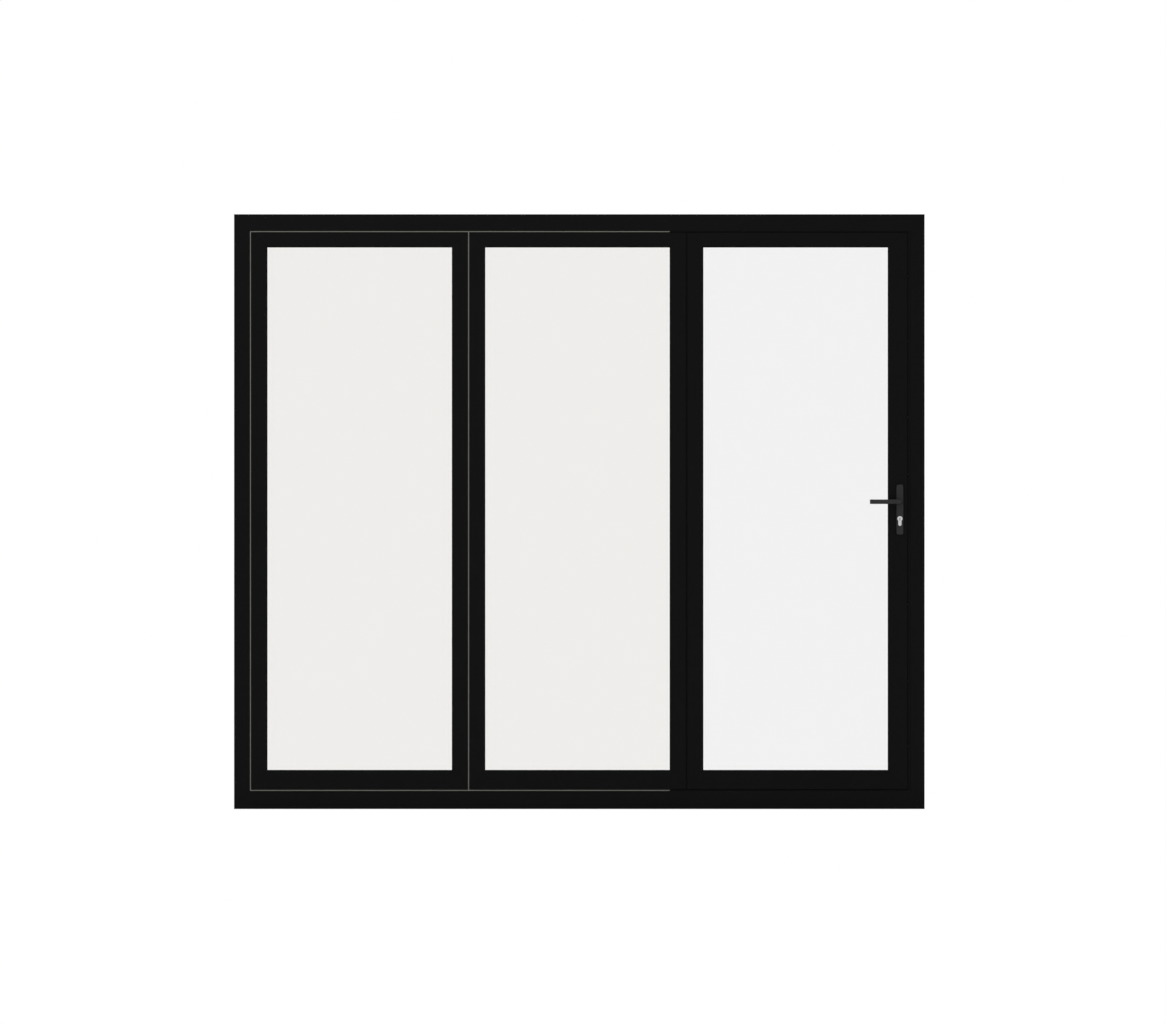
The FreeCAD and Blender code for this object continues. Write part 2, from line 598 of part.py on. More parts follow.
def lever(label, side):
    """A round lever bar: a neck out from the stile, a bend and a grip that points to the glass.

    The side is -1 for the outside face and 1 for the room face.
    """
    body = new_body(label, "handle_axis", "0", "lever_height")
    sign = "-" if side < 0 else ""
    seat = "%s(half_depth + lever_seat_gap)" % sign
    bend_start = "%s(half_depth + lever_projection - lever_bend)" % sign
    grip = "%s(half_depth + lever_projection)" % sign
    path = new_sketch(body, "XY_Plane", "0")
    spots = [("0", seat), ("0", bend_start), ("-lever_bend", grip), ("-lever_reach", grip)]
    ends = [FreeCAD.Vector(value(x), value(y), 0) for x, y in spots]
    centre = FreeCAD.Vector(-value("lever_bend"), value(bend_start), 0)
    across = FreeCAD.Vector(1, side, 0).normalize() * value("lever_bend")
    neck_line = path.addGeometry(Part.LineSegment(ends[0], ends[1]), False)
    bend = path.addGeometry(Part.Arc(ends[1], centre + across, ends[2]), False)
    grip_line = path.addGeometry(Part.LineSegment(ends[2], ends[3]), False)
    # an arc is stored counterclockwise, so on the outside face its start is the grip end
    neck_end, grip_end = (1, 2) if side > 0 else (2, 1)
    path.addConstraint(Sketcher.Constraint("Coincident", neck_line, 2, bend, neck_end))
    path.addConstraint(Sketcher.Constraint("Coincident", grip_line, 1, bend, grip_end))
    place_point(path, neck_line, 1, *spots[0])
    place_point(path, neck_line, 2, *spots[1])
    place_point(path, grip_line, 1, *spots[2])
    place_point(path, grip_line, 2, *spots[3])
    held = path.addConstraint(Sketcher.Constraint("Radius", bend, value("lever_bend")))
    path.setExpression("Constraints[%d]" % held, cells("lever_bend"))
    bar = outline(body, "XZ_Plane", "-(%s)" % seat, [], [("0", "0", "lever_radius")])
    doc.recompute()
    pipe = body.newObject("PartDesign::AdditivePipe", label + "_bar")
    pipe.Profile = bar
    pipe.Spine = (path, [])
    tip = -value("lever_reach")
    round_edges(body, "lever_tip_round", lambda edge: abs(edge.BoundBox.XMax - tip) < TOUCH)
    doc.recompute()
    half = "(spindle_width / 2 + spindle_play)"
    socket = [box("-%s" % half, half, "-%s" % half, half)]
    inner_end = "half_depth + spindle_grip + spindle_play"
    if side < 0:
        cut(body, "XZ_Plane", "-(%s)" % inner_end, "-half_depth", socket)
    else:
        cut(body, "XZ_Plane", "half_depth", inner_end, socket)


# outer frame
jamb("left_jamb", "hinge_jamb_face", 0, "-frame_width / 2", "0", "sill_face", "head_face")
track_bar("head", "head_face", 90, "-frame_width / 2", "frame_height", "hinge_jamb_face", "lock_jamb_face")
right_jamb = jamb("right_jamb", "lock_jamb_face", 180, "frame_width / 2", "frame_height",
                  "head_face", "sill_face")
track_bar("sill", "sill_face", 270, "frame_width / 2", "0", "lock_jamb_face", "hinge_jamb_face")
keep_low = "frame_height - lever_height + cylinder_drop / 2 - keep_length / 2"
keep_high = "frame_height - lever_height + cylinder_drop / 2 + keep_length / 2"
cut(right_jamb, "YZ_Plane", "lock_jamb_face - keep_thick", "lock_jamb_face",
    [box("-keep_width / 2", "keep_width / 2", keep_low, keep_high)])

caps = new_body("fixing_caps")
cap_circles = [("-fixing_offset", height, "fixing_cap_radius") for height in FIXING_HEIGHTS]
pad(caps, "YZ_Plane", "left_rebate - profile_wall", "left_rebate", [], cap_circles)
pad(caps, "YZ_Plane", "right_rebate", "right_rebate + profile_wall", [], cap_circles)

# pale seal around the folding leaves, as far as the glass of the second leaf
folding_seal = new_body("folding_leaf_seal")
seal_right = "second_leaf_left + fold_leaf_width - stile_face"
fold_left = "second_leaf_left - fold_gap"
low_line = "sill_face + fold_seal_thick"
high_line = "head_soffit - fold_seal_thick"
seal_outline = [
    ("left_rebate", "sill_face"), (seal_right, "sill_face"), (seal_right, low_line),
    ("second_leaf_left", low_line), ("second_leaf_left", high_line), (seal_right, high_line),
    (seal_right, "head_soffit"), ("left_rebate", "head_soffit"),
]
seal_window = box("left_rebate + fold_seal_thick", fold_left, low_line, high_line)
pad(folding_seal, "XZ_Plane", "fold_seal_setback - half_depth",
    "fold_seal_setback + fold_seal_depth - half_depth", [seal_outline, seal_window])

# black seals on the step of the frame and on the room side of the fold joint
black_seals = new_body("black_seals")
rebate_loops = [
    box("left_rebate %s" % shift, "right_rebate %s" % back, "sill_face %s" % shift, "head_soffit %s" % back)
    for shift, back in (("- recess_depth + rebate_seal_margin", "+ recess_depth - rebate_seal_margin"),
                        ("- rebate_seal_margin", "+ rebate_seal_margin"))
]
pad(black_seals, "XZ_Plane", "step_depth", "step_depth + rebate_seal_thick", rebate_loops)
pad(black_seals, "XY_Plane", "leaf_bottom", "leaf_top",
    [box(fold_left, "second_leaf_left", "half_depth - fold_seal_setback - fold_seal_depth",
         "half_depth - fold_seal_setback")])

# leaves
sash("first_leaf", "first_leaf_left", "fold_leaf_width", "stile_face", "stile_face",
     "flange_reach", None, None, None)
sash("second_leaf", "second_leaf_left", "fold_leaf_width", "stile_face", "stile_face",
     None, None, None, None)
sash("access_leaf", "access_leaf_left", "access_leaf_width", "stile_face", "lock_stile_face", None,
     "lock_flange_reach", ("groove_depth", "groove_width"), ("faceplate_thick", "faceplate_width"))
second_right_stile = doc.getObject("second_leaf_right_stile")
tongue_overhang = "(edge_gap - tongue_end_gap)"
pad(second_right_stile, "XY_Plane", "-%s" % tongue_overhang, "leaf_height + %s" % tongue_overhang,
    [box("-tongue_reach", "0", "-tongue_thick / 2", "tongue_thick / 2")])
# the groove for the tongue also runs through the ends of the rails
cut(doc.getObject("access_leaf_top_rail"), "XY_Plane", "0", "groove_depth",
    [box("0", "top_rail_face", "-groove_width / 2", "groove_width / 2")])
cut(doc.getObject("access_leaf_bottom_rail"), "XY_Plane", "access_leaf_width - groove_depth",
    "access_leaf_width",
    [box("0", "bottom_rail_face", "-groove_width / 2", "groove_width / 2")])
glazing("first_leaf", "first_leaf_left", "fold_leaf_width", "stile_face", "stile_face")
glazing("second_leaf", "second_leaf_left", "fold_leaf_width", "stile_face", "stile_face")
glazing("access_leaf", "access_leaf_left", "access_leaf_width", "stile_face", "lock_stile_face")

# spindle and key holes in the lock stile, which is turned upside down
lock_stile = doc.getObject("access_leaf_right_stile")
cut(lock_stile, "XZ_Plane", "-half_depth", "half_depth", [],
    [("backset", "leaf_top - lever_height", "spindle_hole_radius")])
key_profile(cut, lock_stile, "-half_depth", "half_depth", "backset",
            "leaf_top - lever_height + cylinder_drop", "cylinder_room", "+")

# hinges on the room side
hinge_flags("jamb_hinge_frame_flags", "jamb_axis", -1, END_KNUCKLES)
hinge_flags("jamb_hinge_leaf_flags", "jamb_axis", 1, MIDDLE_KNUCKLE)
hinge_flags("access_hinge_fixed_flags", "access_axis", -1, END_KNUCKLES)
hinge_flags("access_hinge_moving_flags", "access_axis", 1, MIDDLE_KNUCKLE)
hinge_pins("hinge_pins", ["jamb_axis", "access_axis"])

# guides of the second leaf in the tracks of the head and the sill
guides = new_body("track_guides", "second_leaf_left + fold_leaf_width - guide_inset", "-track_offset")
post = [("0", "0", "guide_post_radius")]
roller = [("0", "0", "track_width / 2 - guide_side_play")]
roof = "head_soffit + guide_end_play"
pad(guides, "XY_Plane", "leaf_top", roof, [], post)
pad(guides, "XY_Plane", roof, "%s + guide_roller_height" % roof, [], roller)
floor_level = "(sill_face - guide_end_play)"
pad(guides, "XY_Plane", floor_level, "leaf_bottom", [], post)
pad(guides, "XY_Plane", "%s - guide_roller_height" % floor_level, floor_level, [], roller)

# shoot bolt handles on the room face of the first leaf
bolt_handles = new_body("shoot_bolt_handles",
                        "second_leaf_left - fold_gap - (stile_face - glazing_rebate) / 2",
                        "half_depth", "leaf_middle")
bolt_heights = ["(-bolt_handle_offset)", "bolt_handle_offset"]
base_boxes = [
    box("-bolt_handle_width / 2", "bolt_handle_width / 2", "%s - bolt_handle_height / 2" % height,
        "%s + bolt_handle_height / 2" % height)
    for height in bolt_heights
]
lever_boxes = [
    box("-bolt_lever_width / 2", "bolt_lever_width / 2", "%s - bolt_lever_height / 2" % height,
        "%s + bolt_lever_height / 2" % height)
    for height in bolt_heights
]
boss_top = "bolt_handle_thick + bolt_boss_height"
pad(bolt_handles, "XZ_Plane", "0", "bolt_handle_thick", base_boxes)
round_edges(bolt_handles, "plate_corner", lambda edge: runs_along(edge, DEPTH))
pad(bolt_handles, "XZ_Plane", "bolt_handle_thick", boss_top, [],
    [("0", height, "bolt_boss_radius") for height in bolt_heights])
pad(bolt_handles, "XZ_Plane", boss_top, "%s + bolt_lever_thick" % boss_top, lever_boxes)
lever_front = value("%s + bolt_lever_thick" % boss_top)
round_edges(bolt_handles, "bolt_handle_round", lambda edge: abs(edge.BoundBox.YMin - lever_front) < TOUCH)

# lock and handles of the access leaf
handle_plate("outside_plate", "-half_depth - plate_thick", "-half_depth", "-half_depth - plate_thick")
handle_plate("inside_plate", "half_depth", "half_depth + plate_thick", "half_depth + plate_thick")
lever("outside_lever", -1)
lever("inside_lever", 1)
spindle = new_body("spindle", "handle_axis", "0", "lever_height")
pad(spindle, "XZ_Plane", "-half_depth - spindle_grip", "half_depth + spindle_grip",
    [box("-spindle_width / 2", "spindle_width / 2", "-spindle_width / 2", "spindle_width / 2")])
cylinder = new_body("key_cylinder", "handle_axis", "0", "lever_height")
cylinder_front = "half_depth + plate_thick + cylinder_proud"
key_profile(pad, cylinder, "-(%s)" % cylinder_front, cylinder_front, "0", "-cylinder_drop", "0", "-")
keyway = [box("-keyway_width / 2", "keyway_width / 2", "-cylinder_drop - keyway_height * 2 / 3",
              "keyway_height / 3 - cylinder_drop")]
cut(cylinder, "XZ_Plane", "-(%s)" % cylinder_front, "keyway_depth - (%s)" % cylinder_front, keyway)
cut(cylinder, "XZ_Plane", "%s - keyway_depth" % cylinder_front, cylinder_front, keyway)
faceplate = new_body("lock_faceplate", "access_leaf_right", "0", "leaf_middle")
pad(faceplate, "XY_Plane", "-faceplate_length / 2", "faceplate_length / 2",
    [box("-faceplate_thick", "0", "-faceplate_width / 2", "faceplate_width / 2")])
latch = "(lever_height - leaf_middle)"
dead_bolt = "(lever_height - cylinder_drop - latch_slot_height - leaf_middle)"
slots = [(latch, "latch_slot_height"), (dead_bolt, "latch_slot_height"), ("hook_offset", "hook_slot_height"),
         ("(-hook_offset)", "hook_slot_height")]
cut(faceplate, "YZ_Plane", "-faceplate_thick", "0",
    [box("-bolt_slot_width / 2", "bolt_slot_width / 2", "%s - %s / 2" % slot, "%s + %s / 2" % slot)
     for slot in slots])
keep = new_body("lock_keep", "right_rebate", "0", "lever_height - cylinder_drop / 2")
pad(keep, "XY_Plane", "-keep_length / 2", "keep_length / 2",
    [box("0", "keep_thick", "-keep_width / 2", "keep_width / 2")])
keep_slots = ["cylinder_drop / 2", "(-cylinder_drop / 2 - latch_slot_height)"]
cut(keep, "YZ_Plane", "0", "keep_thick",
    [box("-bolt_slot_width / 2", "bolt_slot_width / 2", "%s - latch_slot_height / 2" % height,
         "%s + latch_slot_height / 2" % height) for height in keep_slots])

doc.recompute()
for item in doc.Objects:
    if "Invalid" in item.State or "Error" in item.State:
        raise ValueError("%s did not build" % item.Label)
os.makedirs("parts", exist_ok=True)
for body in nodes:
    if body.Shape.isNull() or not body.Shape.isValid():
        raise ValueError("%s has no valid shape" % body.Label)
    body.Shape.exportStep("parts/%s.step" % body.Label)
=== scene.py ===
import math

import bmesh
import bpy
from bpy.props import FloatProperty, FloatVectorProperty, IntProperty, PointerProperty
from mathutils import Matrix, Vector


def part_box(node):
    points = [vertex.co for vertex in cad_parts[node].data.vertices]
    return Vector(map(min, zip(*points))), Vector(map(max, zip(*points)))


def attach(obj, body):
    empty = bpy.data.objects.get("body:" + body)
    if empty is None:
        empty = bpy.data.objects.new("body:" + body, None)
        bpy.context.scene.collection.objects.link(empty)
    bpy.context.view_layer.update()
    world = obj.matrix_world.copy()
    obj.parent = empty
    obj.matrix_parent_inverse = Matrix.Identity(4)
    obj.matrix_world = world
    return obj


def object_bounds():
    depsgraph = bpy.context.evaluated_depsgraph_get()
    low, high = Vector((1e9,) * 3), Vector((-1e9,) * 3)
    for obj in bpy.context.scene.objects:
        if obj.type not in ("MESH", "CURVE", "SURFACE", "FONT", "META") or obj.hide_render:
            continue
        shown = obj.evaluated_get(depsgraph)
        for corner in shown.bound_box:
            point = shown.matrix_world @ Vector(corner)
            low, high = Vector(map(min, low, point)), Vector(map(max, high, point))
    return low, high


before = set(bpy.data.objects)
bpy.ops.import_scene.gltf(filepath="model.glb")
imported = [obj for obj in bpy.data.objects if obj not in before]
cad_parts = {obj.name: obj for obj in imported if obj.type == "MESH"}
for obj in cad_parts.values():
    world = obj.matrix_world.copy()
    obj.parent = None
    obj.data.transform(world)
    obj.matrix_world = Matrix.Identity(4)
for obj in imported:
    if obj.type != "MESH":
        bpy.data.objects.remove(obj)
cad_low, cad_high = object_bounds()

bl_info = {
    "name": "Folding Patio Door",
    "version": (1, 0, 0),
    "blender": (4, 5, 0),
    "location": "3D View > Sidebar > Patio Door",
    "description": "Finishes, screws, lip seal and lock bolts of a glazed folding patio door",
    "category": "Object",
}

# Nodes of the frame and the leaves
LEAVES = ("first_leaf", "second_leaf", "access_leaf")
FOLDING_LEAVES = ("first_leaf", "second_leaf")
BARS = ("left_stile", "top_rail", "right_stile", "bottom_rail", "side_beads", "end_beads")
FRAME_BARS = ("left_jamb", "head", "right_jamb", "sill")

# Hinge flags of the two bodies, and whether their pin is on the right, seen from outside
FRAME_FLAGS = {
    "jamb_hinge_frame_flags": True,
    "jamb_hinge_leaf_flags": False,
    "access_hinge_fixed_flags": True,
}
LEAF_FLAGS = {"access_hinge_moving_flags": False}

# Directions, where -Y is outside
OUTWARD = Vector((0, -1, 0))
INWARD = Vector((0, 1, 0))
RIGHT = Vector((1, 0, 0))
LEFT = Vector((-1, 0, 0))
UP = Vector((0, 0, 1))
DOWN = Vector((0, 0, -1))

# Screw heads: shares of the head's radius and of its height
HEAD_PROFILE = ((1.0, 0.0), (1.0, 0.45), (0.958, 0.75), (0.88, 0.92), (0.712, 1.0))

# Hexagon sockets of the screws: their share of the head's radius, then shares of the socket and of the height
SOCKET_SHARE = 0.42
SOCKET_PROFILE = ((1.06, 1.0), (1.0, 0.93), (1.0, 0.2), (0.2, 0.1))

# Gaps round the access leaf, and the outline of their seal: shares of its reach, and depths
EDGE_GAP = 0.005
LOCK_GAP = 0.010
SWING_GAP = 0.005
LIP = (
    (0.0, 0.0), (0.55, 0.0), (0.92, 0.0006), (1.0, 0.0012), (1.0, 0.0018), (0.92, 0.0024), (0.55, 0.0030),
    (0.32, 0.0060), (0.0, 0.0060),
)

# Hinge screws: rise as a share of the hinge height, and distance from the pin as a share of the flag's width
HINGE_SCREWS = ((-0.35, 0.62), (0.0, 0.80), (0.35, 0.62))

# Distance of a flag's face behind its knuckles
FLAG_SETBACK = 0.030

# Plates of the shoot bolt handles, and the distance of their screws from the ends
BOLT_PLATE_LENGTH = 0.120
BOLT_PLATE_THICK = 0.008
BOLT_PLATE_INSET = 0.007

# Handles: screws, necks of the levers, and their collars and set screws
HANDLE_SCREW_INSET = 0.014
NECK_RADIUS = 0.008
NECK_CLEAR = 0.00815
COLLAR_EASE = 0.0006
COLLAR_SHOULDER = 0.6
SET_SCREW_REACH = 0.0095
SET_SCREW_SINK = 0.0008
SET_SCREW_HEIGHT = 0.0009

# Key cylinder: rim of the plug in shares of its width, inward and up
RIM_PROFILE = ((0.0, -1.0), (0.0, 0.5), (0.3, 1.0), (1.0, 1.0), (1.0, -1.0))

# Key cylinder: dark stepped wards in the key slot, a dark piece that paints the shade of the deep slot; their
# outline is in shares of half their width and of their height
KEYWAY_DROP = 0.0015
SLOT_SHADE_LENGTH = 0.003
SLOT_SHADE_OUTLINE = (
    (1.0, -0.5), (1.0, -0.22), (0.36, -0.22), (0.36, 0.0), (1.0, 0.0), (1.0, 0.5),
    (-1.0, 0.5), (-1.0, 0.14), (-0.36, 0.14), (-0.36, -0.3), (-1.0, -0.3), (-1.0, -0.5),
)

# Lock: heights above the sill seat
LATCH_AXIS = 1.085
DEAD_BOLT_AXIS = 0.989
KEEP_SCREWS = (0.957, 1.037, 1.153)

# Lock: heights from the middle of the faceplate
HOOK_OFFSET = 0.7
FACEPLATE_SCREWS = (-0.83, -0.60, -0.33, 0.13, 0.33, 0.60, 0.83)

# Lock: share of a screw head that is sunk, and shares of a bolt's width over which its end slopes
LOCK_SCREW_SINK = 0.6
LATCH_SLOPE = 0.65
DEAD_BOLT_SLOPE = 0.12
HOOK_SLOPE = 0.35

# Lock: clearance behind the bolt ends, and their eased edges
BOLT_FOOT = 0.0001
BOLT_EASE = 0.0008

# Stage: places of the lamps and their aim, and the directions between which the mirrored studio dims
KEY_PLACE = Vector((-2.6, -4.2, 4.6))
BACK_PLACE = Vector((2.8, 4.4, 4.4))
LAMP_AIM = Vector((0.0, 0.0, 1.0))
DIM_START = -0.35
DIM_END = -0.90
WHITE = (1.0, 1.0, 1.0, 1.0)

# Sockets of the Mix node for colours, whose names it uses more than once
MIX_FIRST = 6
MIX_SECOND = 7
MIX_RESULT = 2


def colour_property(name, description, default):
    return FloatVectorProperty(
        name=name, description=description, default=default, size=3, subtype="COLOR", min=0.0, max=1.0)


def length_property(name, description, default):
    return FloatProperty(name=name, description=description, default=default, unit="LENGTH", min=0.0)


def place_property(name, description, default):
    return FloatProperty(name=name, description=description, default=default, unit="LENGTH")


def power_property(name, description, default):
    return FloatProperty(name=name, description=description, default=default, unit="POWER", min=0.0)


def share_property(name, description, default):
    return FloatProperty(
        name=name, description=description, default=default, subtype="FACTOR", min=0.0, max=1.0)


class PatioDoorFinish(bpy.types.PropertyGroup):
    """Colours and gloss of the door's finishes."""

    coat_colour: colour_property("Coat", "Powder coat of the frame and the leaves", (0.0018, 0.0018, 0.0019))
    coat_roughness: share_property("Coat Roughness", "Roughness of the powder coat", 0.52)
    coat_gloss: share_property("Coat Gloss", "Specular level of the powder coat", 0.10)
    fitting_colour: colour_property("Fittings", "Satin black of handles and hinges", (0.0285, 0.0285, 0.0287))
    fitting_roughness: share_property("Fitting Roughness", "Roughness of the handles and hinges", 0.38)
    fitting_gloss: share_property("Fitting Gloss", "Specular level of the handles and hinges", 0.10)
    seal_colour: colour_property("Pale Seal", "Seal around the folding leaves", (0.165, 0.168, 0.147))
    seal_gloss: share_property("Pale Seal Gloss", "Specular level of the pale seal", 0.2)
    rubber_colour: colour_property("Rubber", "Black gaskets and seals", (0.0028, 0.0028, 0.0029))
    rubber_gloss: share_property("Rubber Gloss", "Specular level of the black gaskets and seals", 0.1)
    # Real nylon of the guides and caps, and also the painted shade of the key slot filling
    nylon_and_slot_shade_colour: colour_property("Nylon", "Guides and screw caps", (0.012, 0.012, 0.012))
    spacer_colour: colour_property("Spacer", "Spacer bars of the glazed units", (0.045, 0.046, 0.048))
    steel_colour: colour_property("Steel", "Stainless lock faceplate, keep and bolts", (0.56, 0.56, 0.55))
    nickel_colour: colour_property("Nickel", "Satin nickel of the key cylinder", (0.74, 0.74, 0.73))
    folding_glass: colour_property("Folding Glass", "Panes of the folding leaves", (0.936, 0.931, 0.921))
    access_glass: colour_property("Access Glass", "Panes of the access leaf", (0.950, 0.950, 0.950))


class PatioDoorFittings(bpy.types.PropertyGroup):
    """Sizes of the screws, collars, bolts and the lip seal."""

    hinge_screw: length_property("Hinge Screw", "Head radius of the hinge screws", 0.0042)
    handle_screw: length_property("Handle Screw", "Head radius of the handle screws", 0.0045)
    lock_screw: length_property("Lock Screw", "Head radius of the lock screws", 0.0040)
    bolt_screw: length_property("Shoot Bolt Screw", "Head radius of the shoot bolt handle screws", 0.0032)
    set_screw: length_property("Set Screw", "Radius of the set screw in a lever neck", 0.0024)
    head_height: length_property("Head Height", "Height of a screw head", 0.0014)
    head_sides: IntProperty(
        name="Head Sides", description="Sides of a screw head", default=36, min=12, max=72)
    hinge_height: length_property("Hinge Height", "Height of one hinge over its knuckles", 0.101)
    collar_radius: length_property("Collar Radius", "Outer radius of the collar at a lever neck", 0.0108)
    collar_height: length_property("Collar Height", "Projection of the collar from the plate", 0.0020)
    plug_radius: length_property("Plug Radius", "Radius of the turning plug in the key cylinder", 0.0069)
    plug_rim: length_property("Plug Rim", "Width and height of the rim around the plug", 0.0003)
    # Sizes of the dark filling that paints shade in the key slot
    slot_shade_width: length_property("Ward Width", "Width of the wards in a key slot", 0.0022)
    slot_shade_height: length_property("Ward Height", "Height of the wards in a key slot", 0.0086)
    slot_shade_depth: length_property("Ward Depth", "Distance of the wards behind the cylinder face", 0.0008)
    bolt_width: length_property("Bolt Width", "Width of the lock bolts in their slots", 0.0110)
    latch_height: length_property("Latch Height", "Height of the latch and of the dead bolt", 0.0345)
    hook_height: length_property("Hook Height", "Height of the hook bolts", 0.0400)
    bolt_depth: length_property("Bolt Depth", "Depth of the bolt ends in the faceplate", 0.0026)
    seal_setback: length_property("Seal Setback", "Distance of the lip seal behind the outside face", 0.0020)
    seal_clear: length_property("Seal Clearance", "Distance of the lip from the access leaf", 0.0009)


class PatioDoorStage(bpy.types.PropertyGroup):
    """The view of the photograph, the floor and the light."""

    view_width: length_property("View Width", "Width of the scene that the picture shows", 4.117)
    view_across: place_property("View Across", "Place of the picture's middle along the door", 0.0130)
    view_height: place_property("View Height", "Height of the picture's middle", 1.0487)
    view_distance: length_property("View Distance", "Distance of the camera from the door", 6.0)
    soft_light: share_property("Soft Light", "Level of the light from all around", 0.84)
    camera_side: share_property("Camera Side", "Dimming of the studio behind the camera, as mirrored", 0.60)
    key_power: power_property("Key Power", "Power of the lamp in front", 48.0)
    back_power: power_property("Back Power", "Power of the lamp in the room", 60.0)
    lamp_size: length_property("Lamp Size", "Width of the lamps", 3.0)
    floor_colour: colour_property("Floor", "Colour of the floor", (0.94, 0.94, 0.94))
    floor_shade: share_property("Floor Shade", "Share of light and shadow in the floor's look", 0.45)
    floor_size: length_property("Floor Size", "Width of the floor", 40.0)


class Value:
    """A socket of a node tree, for use in sums."""

    def __init__(self, recipe, socket):
        self.recipe = recipe
        self.socket = socket

    def combine(self, operation, first, second):
        return self.recipe.add("ShaderNodeMath", {"operation": operation}, {0: first, 1: second})

    def __add__(self, other):
        return self.combine("ADD", self, other)

    __radd__ = __add__

    def __sub__(self, other):
        return self.combine("SUBTRACT", self, other)

    def __rsub__(self, other):
        return self.combine("SUBTRACT", other, self)

    def __mul__(self, other):
        return self.combine("MULTIPLY", self, other)

    __rmul__ = __mul__


class Recipe:
    """A node tree that is filled one node at a time."""

    def __init__(self, tree):
        self.tree = tree
        self.tree.nodes.clear()

    def add(self, kind, settings=None, inputs=None, output=0):
        """Add a node, set it up, feed its sockets and return one of its outputs."""
        node = self.tree.nodes.new(kind)
        for name, setting in (settings or {}).items():
            setattr(node, name, setting)
        for name, source in (inputs or {}).items():
            if isinstance(source, Value):
                self.tree.links.new(source.socket, node.inputs[name])
            else:
                node.inputs[name].default_value = source
        if not node.outputs:
            return None
        return Value(self, node.outputs[output])

    def point(self):
        """The place on the piece in metres."""
        return self.add("ShaderNodeTexCoord", output="Object")

    def stretch(self, point, along):
        return self.add("ShaderNodeVectorMath", {"operation": "MULTIPLY"}, {0: point, 1: along})

    def noise(self, point, scale, detail, roughness=0.5):
        return self.add("ShaderNodeTexNoise", {}, {
            "Vector": point, "Scale": scale, "Detail": detail, "Roughness": roughness})

    def vary(self, mask, colour, dark, light):
        """A colour times a share that goes from dark to light with a mask."""
        return self.add("ShaderNodeMix", {"data_type": "RGBA"}, {
            0: mask, MIX_FIRST: opaque(colour, dark), MIX_SECOND: opaque(colour, light)}, MIX_RESULT)

    def bump(self, height, strength, distance):
        return self.add("ShaderNodeBump", {}, {"Strength": strength, "Distance": distance, "Height": height})

    def surface(self, **inputs):
        """The principled shader, whose sockets are named with underscores for spaces."""
        named = {name.replace("_", " "): source for name, source in inputs.items()}
        shader = self.add("ShaderNodeBsdfPrincipled", {}, named)
        self.add("ShaderNodeOutputMaterial", {}, {"Surface": shader})


def opaque(colour, share=1.0):
    """A colour times a share, with an alpha of one."""
    return (colour[0] * share, colour[1] * share, colour[2] * share, 1.0)


def new_finish(name):
    material = bpy.data.materials.new(name)
    material.use_nodes = True
    return material, Recipe(material.node_tree)


def powder_coat(name, colour, roughness, gloss):
    """Sprayed paint with a fine orange peel and a faint cloudiness."""
    material, recipe = new_finish(name)
    point = recipe.point()
    peel = recipe.noise(point, scale=1100.0, detail=2.0)
    cloud = recipe.noise(point, scale=5.0, detail=3.0)
    recipe.surface(
        Base_Color=recipe.vary(cloud, colour, dark=0.86, light=1.14),
        Roughness=roughness - 0.06 + 0.07 * peel + 0.05 * cloud,
        Specular_IOR_Level=gloss,
        Normal=recipe.bump(peel, strength=0.22, distance=0.00006),
    )
    return material


def satin_black(name, colour, roughness, gloss):
    """Smooth black lacquer on metal with faint rub marks."""
    material, recipe = new_finish(name)
    point = recipe.point()
    grain = recipe.noise(point, scale=2400.0, detail=1.0)
    marks = recipe.noise(recipe.stretch(point, (30.0, 30.0, 140.0)), scale=4.0, detail=4.0)
    recipe.surface(
        Base_Color=recipe.vary(marks, colour, dark=0.88, light=1.12),
        Roughness=roughness - 0.06 + 0.12 * marks,
        Specular_IOR_Level=gloss,
        Normal=recipe.bump(grain, strength=0.10, distance=0.00003),
    )
    return material


def rubber(name, colour, gloss):
    """Matt extruded rubber with a fine grain and a faint cloudiness."""
    material, recipe = new_finish(name)
    point = recipe.point()
    grain = recipe.noise(point, scale=1600.0, detail=3.0)
    cloud = recipe.noise(point, scale=40.0, detail=2.0)
    recipe.surface(
        Base_Color=recipe.vary(cloud, colour, dark=0.9, light=1.1),
        Roughness=0.66 + 0.16 * grain,
        Specular_IOR_Level=gloss,
        Normal=recipe.bump(grain, strength=0.3, distance=0.00005),
    )
    return material


def moulded_nylon(name, colour):
    """Black nylon with the fine texture of its mould."""
    material, recipe = new_finish(name)
    texture = recipe.noise(recipe.point(), scale=1900.0, detail=2.0)
    recipe.surface(
        Base_Color=recipe.vary(texture, colour, dark=0.85, light=1.15),
        Roughness=0.46 + 0.14 * texture,
        Specular_IOR_Level=0.3,
        Normal=recipe.bump(texture, strength=0.25, distance=0.00005),
    )
    return material


def brushed_metal(name, colour, along, metallic):
    """Metal brushed in one direction: the noise is stretched along it."""
    material, recipe = new_finish(name)
    point = recipe.point()
    lines = recipe.noise(recipe.stretch(point, along), scale=1.0, detail=4.0, roughness=0.6)
    cloud = recipe.noise(point, scale=60.0, detail=2.0)
    recipe.surface(
        Base_Color=recipe.vary(lines, colour, dark=0.9, light=1.08),
        Metallic=metallic,
        Roughness=0.28 + 0.10 * lines + 0.05 * cloud,
        Normal=recipe.bump(lines, strength=0.08, distance=0.00003),
    )
    return material


def float_glass(name, tint):
    """Clear glass with the faint waviness of a float line."""
    material, recipe = new_finish(name)
    wave = recipe.noise(recipe.point(), scale=2.2, detail=1.0)
    recipe.surface(
        Base_Color=opaque(tint),
        Roughness=0.0,
        IOR=1.5,
        Transmission_Weight=1.0,
        Normal=recipe.bump(wave, strength=0.006, distance=0.001),
    )
    return material


